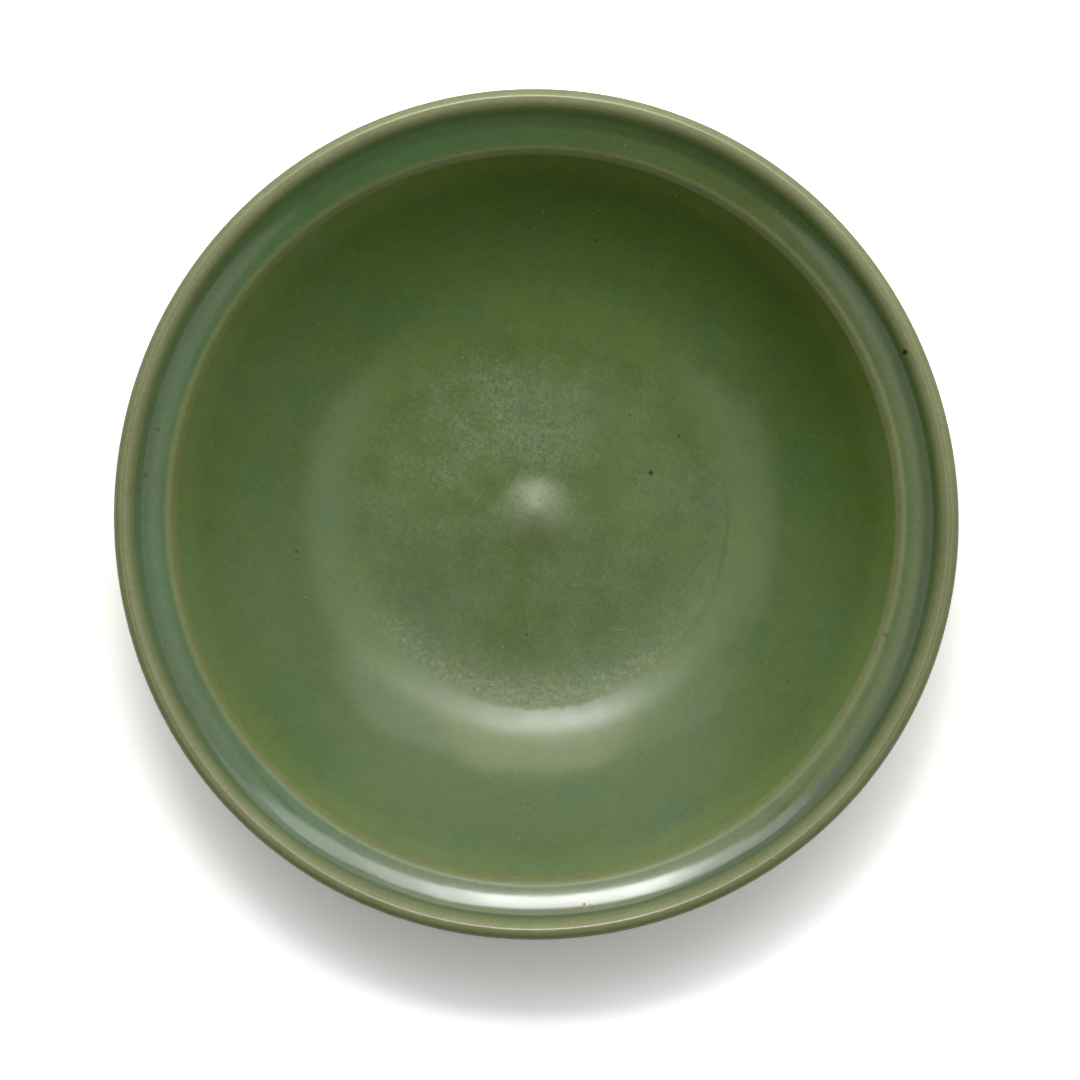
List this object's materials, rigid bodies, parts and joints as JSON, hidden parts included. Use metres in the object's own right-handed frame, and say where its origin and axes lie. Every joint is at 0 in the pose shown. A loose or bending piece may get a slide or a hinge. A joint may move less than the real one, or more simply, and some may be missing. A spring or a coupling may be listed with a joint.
{
  "type": "dish",
  "caption": "Round ceramic dish with a flanged, rolled rim, a rounded well with a low central boss, thick green glaze and a bare foot ring.",
  "frame": {"origin": "middle of the plane that the foot ring stands on", "axes": "+Z is the axis of revolution, up through the well; +X is the right of the picture and +Y its top"},
  "size_m": [0.22, 0.22, 0.045],
  "materials": {
    "fired_clay": "bare fired stoneware, burnt orange-brown, matt and slightly gritty",
    "green_glaze": "thick translucent green glaze, glossy, paler and thinner on edges, scratched dull on the floor of the well",
    "base_glaze": "thinner green glaze inside the foot ring, satin gloss"
  },
  "bodies": {
    "root": {"stoneware_body": "fired_clay", "glaze_coat": "green_glaze", "base_glaze": "base_glaze"}
  },
  "joints": []
}
